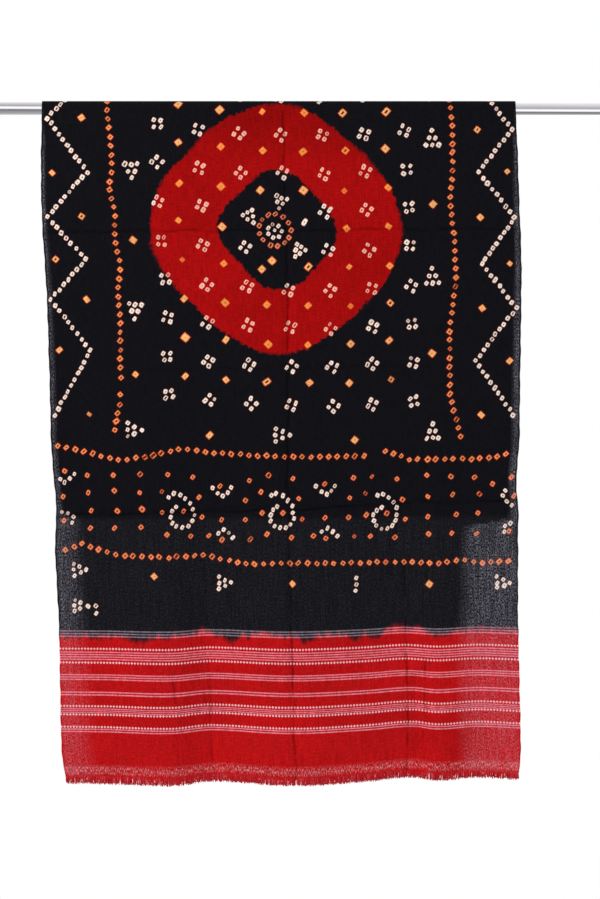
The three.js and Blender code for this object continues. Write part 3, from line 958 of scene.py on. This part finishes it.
def crease_shade_lines(tree, flat, least, most):
    """The darkest painted crease shade of the lines that cross a stretch between two places along the cloth.
    """
    dark = 0.0
    for crease in CREASES:
        nearer, further = sorted((crease["from_along"], crease["to_along"]))
        if crease["line"] == 0 or further < least or nearer > most:
            continue
        run_across = crease["to_across"] - crease["from_across"]
        run_along = crease["to_along"] - crease["from_along"]
        inputs = {
            "Flat": flat,
            "From": (crease["from_across"] * MM, crease["from_along"] * MM, 0.0),
            "Run": (run_across * MM, run_along * MM, 0.0),
            "Strength": crease["line"],
        }
        dark = maths(tree, "MAXIMUM", use_group(tree, crease_group, inputs)["Dark"], dark)
    return dark


# %% [markdown]
# ## Woven stripes
# The weaver put pale yarns into the red ends. A stripe group draws an even run of lines between two places
# along the cloth, and a dotted row draws the skipped picks that read as a row of pips. Both count from the
# middle of the shawl, so the same recipe serves both ends.

# %% Stripe groups
line_group, line_in, line_out = new_group(
    "woven_lines", {"Along": "Float", "Start": "Float", "Lines": "Float", "Pitch": "Float"}, {"Mask": "Float"}
)
tree = line_group
steps = maths(tree, "DIVIDE", maths(tree, "SUBTRACT", line_in["Along"], line_in["Start"]), line_in["Pitch"])
beyond = maths(tree, "GREATER_THAN", steps, 0.0)
before = maths(tree, "LESS_THAN", steps, line_in["Lines"])
from_line = maths(tree, "ABSOLUTE", maths(tree, "SUBTRACT", maths(tree, "FRACT", steps), 0.5))
mask = maths(tree, "MULTIPLY", ramp(tree, from_line, 0.32, 0.16), maths(tree, "MULTIPLY", beyond, before))
tree.links.new(mask, line_out["Mask"])

pip_group, pip_in, pip_out = new_group("pip_row", {"Flat": "Vector", "Row": "Float"}, {"Mask": "Float"})
PIP_PITCH, PIP_RADIUS = 6.2 * MM, 2.7 * MM
tree = pip_group
parts = add_node(tree, "ShaderNodeSeparateXYZ", {0: pip_in["Flat"]}).outputs
beside = maths(tree, "SUBTRACT", maths(tree, "FRACT", maths(tree, "DIVIDE", parts["X"], PIP_PITCH)), 0.5)
beside = maths(tree, "MULTIPLY", beside, PIP_PITCH)
below = maths(tree, "SUBTRACT", maths(tree, "ABSOLUTE", parts["Y"]), pip_in["Row"])
reach = maths(tree, "ADD", maths(tree, "ABSOLUTE", beside), maths(tree, "ABSOLUTE", below))
tree.links.new(ramp(tree, reach, PIP_RADIUS * 1.15, PIP_RADIUS * 0.7), pip_out["Mask"])

# %% The stripe tables, in millimetres from the middle of the shawl
LINE_RUNS = {
    "start": [767.8, 808.7, 852.2, 885.5, 918.2, 956.7],
    "lines": [3, 4, 3, 2, 3, 2],
    "pitch": [5.1, 4.6, 4.5, 5.0, 3.5, 4.5],
}
PIP_ROWS = [804.5, 831, 914.7, 930.7, 954.5]
STRIPE_PINK = dye(252, 148, 164)
PIP_PINK = dye(255, 190, 198)
STRIPE_GREY = dye(140, 130, 144)
FLECKS = {"start": 1030, "end": 1045}
# Painted light seen through thin cloth: pale in the field and pink in the red ends
LIGHT_BEHIND = dye(198, 194, 212)
PINK_BEHIND = dye(236, 166, 184)

# %% [markdown]
# ## The cloth materials
# Field and border share the dye bath and the weave. The field adds its two dots a face, and the border its
# stripes and the row of pale flecks above the frayed hem. Both end in one Principled shader: rough and
# barely shiny, with painted shade along the crease lines, and a bump from the weave, the puckers and the
# creases.

# %% Cloth materials
# Painted crease shade: the colour that the crease lines are darkened towards
PAINTED_CREASE_SHADE = (0.3, 0.22, 0.22)
WEAVE_RELIEF = 0.35 * MM
FLECK_SOFT = 6 * MM


def start_material(name):
    material = bpy.data.materials.new(name)
    material.use_nodes = True
    tree = material.node_tree
    return material, tree, tree.nodes["Principled BSDF"]


def finish_cloth(tree, shader, colour, height, depth):
    bump = add_node(tree, "ShaderNodeBump", {"Height": height, "Strength": 0.5, "Distance": depth})
    tree.links.new(colour, shader.inputs["Base Color"])
    tree.links.new(bump.outputs["Normal"], shader.inputs["Normal"])
    shader.inputs["Roughness"].default_value = 0.9
    shader.inputs["Specular IOR Level"].default_value = 0.05


def flat_place(tree):
    return add_node(tree, "ShaderNodeUVMap", uv_map="flat").outputs["UV"]


def attribute(tree, name):
    return add_node(tree, "ShaderNodeAttribute", attribute_name=name).outputs


def shade_and_sink_creases(tree, flat, least, most, colour, height):
    """Paints shade into the crease lines and sinks them, as they lie deeper than the weave is high."""
    dark = crease_shade_lines(tree, flat, least, most)
    # Painted shade: the colour is darkened along the crease lines
    colour = mix_dye(tree, maths(tree, "MULTIPLY", dark, 0.8), colour, PAINTED_CREASE_SHADE, "MULTIPLY")
    return colour, maths(tree, "MULTIPLY_ADD", dark, -4.0, height)


def field_material():
    material, tree, shader = start_material("tie_dyed_field")
    flat = flat_place(tree)
    ground = use_group(tree, ground_group, {"Flat": flat})
    colour, puckers = ground["Colour"], []
    for layer in range(2):
        dyed, look = (attribute(tree, f"dot{layer}_{name}") for name in ("dye", "look"))
        inputs = {
            "Flat": flat,
            "Place": attribute(tree, f"dot{layer}_place")["Vector"],
            "Look": look["Color"],
            "Square": look["Alpha"],
            "Dye": dyed["Color"],
            "Strength": dyed["Alpha"],
            "Ground": colour,
        }
        dot = use_group(tree, dot_group, inputs)
        colour = dot["Colour"]
        puckers.append(dot["Pucker"])
    thin = attribute(tree, "thin")["Fac"]
    inputs = {"Flat": flat, "Ground": colour, "Thin": thin, "Behind": (*LIGHT_BEHIND, 1)}
    weave = use_group(tree, weave_group, inputs)
    pucker = maths(tree, "MAXIMUM", *puckers)
    height = maths(tree, "MULTIPLY_ADD", pucker, 2.4, weave["Height"])
    colour, height = shade_and_sink_creases(tree, flat, -BORDER_EDGE, BORDER_EDGE, weave["Colour"], height)
    finish_cloth(tree, shader, colour, height, WEAVE_RELIEF)
    return material


def border_material():
    material, tree, shader = start_material("striped_border")
    flat = flat_place(tree)
    along = maths(tree, "ABSOLUTE", add_node(tree, "ShaderNodeSeparateXYZ", {0: flat}).outputs["Y"])
    ground = use_group(tree, ground_group, {"Flat": flat})
    lines = 0.0
    for start, count, pitch in zip(*LINE_RUNS.values()):
        inputs = {"Along": along, "Start": start * MM, "Lines": float(count), "Pitch": pitch * MM}
        lines = maths(tree, "MAXIMUM", use_group(tree, line_group, inputs)["Mask"], lines)
    pips = 0.0
    for row in PIP_ROWS:
        in_row = use_group(tree, pip_group, {"Flat": flat, "Row": row * MM})["Mask"]
        pips = maths(tree, "MAXIMUM", in_row, pips)
    yarn = ramp(tree, drawn_noise(tree, flat, 330.0, 90.0, 2.0), 0.25, 0.7, 0.45, 0.95)
    stripe_dye = mix_dye(tree, ground["Red"], STRIPE_GREY, STRIPE_PINK)
    colour = mix_dye(tree, maths(tree, "MULTIPLY", lines, yarn), ground["Colour"], stripe_dye)
    colour = mix_dye(tree, pips, colour, PIP_PINK)
    flecks_start, flecks_end = FLECKS["start"] * MM, FLECKS["end"] * MM
    below_start = ramp(tree, along, flecks_start - FLECK_SOFT, flecks_start + FLECK_SOFT)
    above_end = ramp(tree, along, flecks_end + 4 * MM, flecks_end - FLECK_SOFT)
    in_flecks = maths(tree, "MULTIPLY", below_start, above_end)
    fleck = ramp(tree, drawn_noise(tree, flat, 700.0, 170.0, 3.0), 0.47, 0.68, 0.0, 0.65)
    colour = mix_dye(tree, maths(tree, "MULTIPLY", fleck, in_flecks), colour, PIP_PINK)
    thin = attribute(tree, "thin")["Fac"]
    inputs = {"Flat": flat, "Ground": colour, "Thin": thin, "Behind": (*PINK_BEHIND, 1)}
    weave = use_group(tree, weave_group, inputs)
    height = maths(tree, "MULTIPLY_ADD", maths(tree, "MAXIMUM", lines, pips), 1.2, weave["Height"])
    colour, height = shade_and_sink_creases(tree, flat, BORDER_EDGE, WOVEN_EDGE, weave["Colour"], height)
    finish_cloth(tree, shader, colour, height, WEAVE_RELIEF)
    return material


CLOTH_MATERIALS = {"cloth_field": field_material(), "cloth_border": border_material()}
for stretch in STRETCHES.values():
    stretch["piece"].data.materials.append(CLOTH_MATERIALS[stretch["slot"]])

# %% [markdown]
# ## The frayed hem
# The ends aren't hemmed: the last wefts were pulled out, and the warp yarns hang free in an uneven fringe.
# Geometry Nodes suit it, since one rule makes thousands of yarns: points along the woven edge each get a
# short line of random length and lean, noise bends it more towards its tip, and a thin section makes it a
# yarn.

# %% The yarn material
YARN_RED = dye(212, 28, 36)
YARN_PINK = dye(242, 140, 150)
YARN_TIP = dye(206, 52, 64)


def yarn_material():
    material, tree, shader = start_material("frayed_yarn")
    share = attribute(tree, "yarn_share")["Fac"]
    tone = attribute(tree, "yarn_tone")["Fac"]
    place = add_node(tree, "ShaderNodeTexCoord").outputs["Object"]
    fuzz = noise(tree, place, 900.0, 2.0)
    colour = mix_dye(tree, ramp(tree, tone, 0.75, 0.98, 0.0, 0.6), YARN_RED, YARN_PINK)
    colour = mix_dye(tree, ramp(tree, share, 0.5, 1.0, 0.0, 0.7), colour, YARN_TIP)
    colour = mix_dye(tree, ramp(tree, fuzz, 0.35, 0.65, 0.0, 0.35), colour, YARN_TIP)
    finish_cloth(tree, shader, colour, fuzz, 0.2 * MM)
    return material


# %% The fringe tree
YARN_LENGTHS = {"shortest": 0.80, "spread": 0.24, "rarity": 2.2}
YARN_PLACES = 5
YARN_SIDES = 3


def fringe_tree(material):
    """Geometry Nodes that hang yarns from a line of points: the sizes are named inputs in metres."""
    tree = bpy.data.node_groups.new("frayed_hem", "GeometryNodeTree")
    tree.interface.new_socket(name="Edge", in_out="INPUT", socket_type="NodeSocketGeometry")
    sizes = {"Yarns": "Int", "Length": "Float", "Radius": "Float", "Lean": "Float"}
    sizes |= {"Bend": "Float", "Seed": "Int"}
    for name, kind in sizes.items():
        tree.interface.new_socket(name=name, in_out="INPUT", socket_type=f"NodeSocket{kind}")
    tree.interface.new_socket(name="Fringe", in_out="OUTPUT", socket_type="NodeSocketGeometry")
    given = tree.nodes.new("NodeGroupInput").outputs
    edge = add_node(tree, "GeometryNodeMeshToCurve", {"Mesh": given["Edge"]}).outputs[0]
    spots = add_node(tree, "GeometryNodeResampleCurve", {"Curve": edge, "Count": given["Yarns"]}).outputs[0]
    down = maths(tree, "MULTIPLY", given["Length"], -1.0)
    tip = add_node(tree, "ShaderNodeCombineXYZ", {"Z": down}).outputs[0]
    line = add_node(tree, "GeometryNodeCurvePrimitiveLine", {"Start": (0.0, 0.0, 0.0), "End": tip}).outputs[0]

    def chance(low, high, offset, data_type="FLOAT"):
        made = add_node(tree, "FunctionNodeRandomValue", data_type=data_type)
        feed(tree, [socket for socket in made.inputs if socket.enabled], {0: low, 1: high})
        tree.links.new(maths(tree, "ADD", given["Seed"], float(offset)), made.inputs["Seed"])
        return next(socket for socket in made.outputs if socket.enabled)

    least = maths(tree, "MULTIPLY", given["Lean"], -1.0)
    leans = (least, given["Lean"])
    corners = [add_node(tree, "ShaderNodeCombineXYZ", {"X": lean, "Y": lean}).outputs[0] for lean in leans]
    turn = chance(*corners, 1, "FLOAT_VECTOR")
    rarely = maths(tree, "POWER", chance(0.0, 1.0, 2), YARN_LENGTHS["rarity"])
    long = maths(tree, "MULTIPLY_ADD", rarely, YARN_LENGTHS["spread"], YARN_LENGTHS["shortest"])
    size = add_node(tree, "ShaderNodeCombineXYZ", {"X": 1.0, "Y": 1.0, "Z": long}).outputs[0]
    inputs = {"Points": spots, "Instance": line, "Rotation": turn, "Scale": size}
    hung = add_node(tree, "GeometryNodeInstanceOnPoints", inputs).outputs[0]
    tone = add_node(
        tree,
        "GeometryNodeStoreNamedAttribute",
        {"Geometry": hung, "Name": "yarn_tone", "Value": chance(0.0, 1.0, 3)},
        data_type="FLOAT",
        domain="INSTANCE",
    ).outputs[0]
    loose = add_node(tree, "GeometryNodeRealizeInstances", {"Geometry": tone}).outputs[0]
    loose = add_node(tree, "GeometryNodeResampleCurve", {"Curve": loose, "Count": YARN_PLACES}).outputs[0]
    share = add_node(tree, "GeometryNodeSplineParameter").outputs["Factor"]
    loose = add_node(
        tree,
        "GeometryNodeStoreNamedAttribute",
        {"Geometry": loose, "Name": "yarn_share", "Value": share},
        data_type="FLOAT",
        domain="POINT",
    ).outputs[0]
    place = add_node(tree, "GeometryNodeInputPosition").outputs[0]
    amount = maths(tree, "MULTIPLY", share, given["Bend"])
    reach = add_node(tree, "ShaderNodeCombineXYZ", {"X": amount, "Y": amount}).outputs[0]
    waver = shift(tree, place, 140.0, 1.0, reach)
    loose = add_node(tree, "GeometryNodeSetPosition", {"Geometry": loose, "Offset": waver}).outputs[0]
    inputs = {"Resolution": YARN_SIDES, "Radius": given["Radius"]}
    section = add_node(tree, "GeometryNodeCurvePrimitiveCircle", inputs).outputs[0]
    inputs = {"Curve": loose, "Profile Curve": section, "Fill Caps": True}
    yarns = add_node(tree, "GeometryNodeCurveToMesh", inputs).outputs[0]
    yarns = add_node(tree, "GeometryNodeRealizeInstances", {"Geometry": yarns}).outputs[0]
    made = add_node(tree, "GeometryNodeSetMaterial", {"Geometry": yarns, "Material": material}).outputs[0]
    tree.links.new(made, tree.nodes.new("NodeGroupOutput").inputs[0])
    return tree


# %% Both fringes
FRINGE_SIZES = {"Yarns": 2300, "Length": 16 * MM, "Radius": 0.7 * MM, "Lean": 0.13, "Bend": 6 * MM}
YARN_ROOT = 3
EDGE = {"start": 0.002, "end": 0.998, "places": 240}
hem_tree = fringe_tree(yarn_material())


def fringe(name, end, seed):
    """Hangs yarns from the woven edge of one end and returns them as a plain mesh."""
    across = np.linspace(EDGE["start"], EDGE["end"], EDGE["places"])
    root = np.full_like(across, end * (WOVEN_EDGE - YARN_ROOT))
    points = cloth_point(across, root) * MM
    mesh = bpy.data.meshes.new(name + "_edge")
    mesh.from_pydata(points.tolist(), [(spot, spot + 1) for spot in range(len(points) - 1)], [])
    edge = bpy.data.objects.new(name + "_edge", mesh)
    collection.objects.link(edge)
    modifier = edge.modifiers.new("fringe", "NODES")
    modifier.node_group = hem_tree
    sockets = {item.name: item.identifier for item in hem_tree.interface.items_tree if item.in_out == "INPUT"}
    for size, value in {**FRINGE_SIZES, "Seed": seed}.items():
        modifier[sockets[size]] = value
    evaluated = edge.evaluated_get(bpy.context.evaluated_depsgraph_get())
    made = bpy.data.meshes.new_from_object(evaluated)
    made.name = name
    bpy.data.objects.remove(edge)
    piece = bpy.data.objects.new(name, made)
    collection.objects.link(piece)
    print(f"{name}: {sum(len(face.vertices) - 2 for face in made.polygons)} triangles")
    return piece


FRINGES = {
    "front_fringe": fringe("yarns_front_fringe", 1, 4),
    "back_fringe": fringe("yarns_back_fringe", -1, 9),
}

# %% [markdown]
# ## The rod
# The rod is a plain tube of 25 mm with a small chamfer at each end. The solid's facets would show in
# chrome, so a finer turned form takes its place: one profile, swept round the axis, with the chamfer's
# edges kept crisp.

# %% The turned rod
ROD_SIDES = 96
ROD_CHAMFER = 1
ROD_RINGS = {"count": 24, "from_end": 10}


def turned_rod(name):
    half, flat_radius = ROD_LENGTH / 2, ROD_RADIUS - ROD_CHAMFER
    end_profile = [
        (-half, 0.001),
        (-half, flat_radius * 0.6),
        (-half, flat_radius),
        (-half + ROD_CHAMFER * 0.3, ROD_RADIUS - ROD_CHAMFER * 0.25),
        (-half + ROD_CHAMFER, ROD_RADIUS),
    ]
    last_ring = half - ROD_RINGS["from_end"]
    profile = end_profile + [(x, ROD_RADIUS) for x in np.linspace(-last_ring, last_ring, ROD_RINGS["count"])]
    profile += [(-x, radius) for x, radius in reversed(end_profile)]
    turns = np.arange(ROD_SIDES) / ROD_SIDES * math.tau
    points = [(x, -r * math.cos(turn), r * math.sin(turn)) for x, r in profile for turn in turns]
    faces = []
    for ring_index in range(len(profile) - 1):
        for side in range(ROD_SIDES):
            here = ring_index * ROD_SIDES + side
            following = ring_index * ROD_SIDES + (side + 1) % ROD_SIDES
            faces.append((here, here + ROD_SIDES, following + ROD_SIDES, following))
    last = (len(profile) - 1) * ROD_SIDES
    faces.append(tuple(range(ROD_SIDES)))
    faces.append(tuple(last + side for side in reversed(range(ROD_SIDES))))
    mesh = bpy.data.meshes.new(name)
    mesh.from_pydata((np.array(points) * MM).tolist(), [], faces)
    mesh.shade_smooth()
    mesh.set_sharp_from_angle(angle=math.radians(25))
    piece = bpy.data.objects.new(name, mesh)
    collection.objects.link(piece)
    return piece


def chrome_material():
    material, tree, shader = start_material("chrome_plate")
    place = add_node(tree, "ShaderNodeTexCoord").outputs["Object"]
    drawn = drawn_noise(tree, place, 9.0, 900.0, 3.0)
    cloud = noise(tree, place, 14.0, 3.0)
    tree.links.new(ramp(tree, cloud, 0.3, 0.7, 0.06, 0.11), shader.inputs["Roughness"])
    tone = mix_dye(tree, ramp(tree, drawn, 0.3, 0.7, 0.0, 0.35), dye(226, 224, 228), dye(204, 201, 207))
    tree.links.new(tone, shader.inputs["Base Color"])
    shader.inputs["Metallic"].default_value = 1.0
    bump = add_node(tree, "ShaderNodeBump", {"Height": drawn, "Strength": 0.15, "Distance": 0.05 * MM})
    tree.links.new(bump.outputs["Normal"], shader.inputs["Normal"])
    return material


rod = turned_rod("rod_tube")
rod.data.materials.append(chrome_material())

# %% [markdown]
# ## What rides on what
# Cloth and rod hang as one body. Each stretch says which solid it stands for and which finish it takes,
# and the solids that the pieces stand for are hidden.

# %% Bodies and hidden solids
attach(rod, "root")
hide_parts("rod")
for node, piece in FRINGES.items():
    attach(piece, "root")
    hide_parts(node)
for name, stretch in STRETCHES.items():
    piece = stretch["piece"]
    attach(piece, "root")
    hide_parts(stretch["node"])

# %% [markdown]
# ## Studio
# The photograph is straight on, in soft even light against white. The sky is a white room that is darker
# low in front, which gives chrome its dark band. The floor lies below the picture and isn't seen in
# reflections.

# %% Floor
floor_mesh = bpy.data.meshes.new("floor")
FLOOR = {"half_width": 2.6, "half_depth": 1.6, "height": -1.9}
floor_corners = [(-1, -1), (1, -1), (1, 1), (-1, 1)]
floor_points = [(x * FLOOR["half_width"], y * FLOOR["half_depth"], FLOOR["height"]) for x, y in floor_corners]
floor_mesh.from_pydata(floor_points, [], [(0, 1, 2, 3)])
floor = bpy.data.objects.new("floor", floor_mesh)
collection.objects.link(floor)
floor_material, tree, shader = start_material("pale_floor")
shader.inputs["Base Color"].default_value = (0.80, 0.80, 0.80, 1)
shader.inputs["Roughness"].default_value = 0.9
floor_mesh.materials.append(floor_material)
floor.visible_glossy = False

# %% Camera and lights
camera_data = bpy.data.cameras.new("camera")
CAMERA = {"across": 0.040, "distance": 4.0, "height": -0.660, "view_height": 1.739, "sensor": 36}
camera_data.sensor_width = CAMERA["sensor"]
camera_data.lens = camera_data.sensor_width * CAMERA["distance"] / CAMERA["view_height"]
camera = bpy.data.objects.new("camera", camera_data)
camera.location = (CAMERA["across"], -CAMERA["distance"], CAMERA["height"])
camera.rotation_euler = (math.pi / 2, 0, 0)
collection.objects.link(camera)
bpy.context.scene.camera = camera

SOFTBOXES = {
    "key": {"place": (-2.9, -2.3, 0.9), "size": 1.2, "power": 66},
    "fill": {"place": (2.3, -2.6, 0.2), "size": 1.8, "power": 12},
    "rear": {"place": (0.6, 2.6, 1.4), "size": 1.8, "power": 30},
}
AIM = Vector((0, 0, -0.6))
for name, box in SOFTBOXES.items():
    light_data = bpy.data.lights.new(name, "AREA")
    light_data.size = box["size"]
    light_data.energy = box["power"]
    light = bpy.data.objects.new(name, light_data)
    light.location = box["place"]
    light.visible_glossy = False
    light.rotation_euler = (AIM - light.location).to_track_quat("-Z", "Y").to_euler()
    collection.objects.link(light)

# %% The white room
AMBIENT = 0.585
ROOM_TOP = 1.45
ROOM_TILT = {"degrees": 200, "level_at": -0.14}
ROOM = {
    "degrees": [-180, -128, -114, -112, -68, -66, -60, -38, -27, -17, -5, 13, 26, 38, 47, 60, 180],
    "level": [0.48, 0.48, 0.45, 0.33, 0.33, 0.25, 0.25, 0.17, 0.18, 0.6, 1.0, 1.0, 0.6, 0.36, 0.38, 0.48,
              0.48],
}
world = bpy.data.worlds.new("white_room")
bpy.context.scene.world = world
world.use_nodes = True
tree = world.node_tree
direction = add_node(tree, "ShaderNodeTexCoord").outputs["Generated"]
parts = add_node(tree, "ShaderNodeSeparateXYZ", {0: direction}).outputs
height = maths(tree, "ARCTAN2", parts["Z"], maths(tree, "MULTIPLY", parts["Y"], -1.0))
tilt = ROOM_TILT["degrees"] / 360
share = maths(tree, "MULTIPLY_ADD", height, 1 / math.tau, 0.5 - tilt * ROOM_TILT["level_at"])
share = maths(tree, "MULTIPLY_ADD", parts["X"], tilt, share)
bands = add_node(tree, "ShaderNodeValToRGB", {"Fac": share})
stops = bands.color_ramp.elements
for degrees, level in zip(*ROOM.values()):
    stop = stops[0] if degrees == -180 else stops[1] if degrees == 180 else stops.new(degrees / 360 + 0.5)
    stop.color = (level, level, level, 1)
reflected = maths(tree, "MULTIPLY", bands.outputs["Color"], ROOM_TOP)
path = add_node(tree, "ShaderNodeLightPath").outputs
brighter = maths(tree, "SUBTRACT", reflected, AMBIENT)
strength = maths(tree, "MULTIPLY_ADD", path["Is Glossy Ray"], brighter, AMBIENT)
strength = maths(tree, "MAXIMUM", strength, path["Is Camera Ray"])
background = tree.nodes["Background"]
tree.links.new(strength, background.inputs["Strength"])
background.inputs["Color"].default_value = (1, 1, 1, 1)
bpy.context.scene.view_settings.view_transform = "Standard"
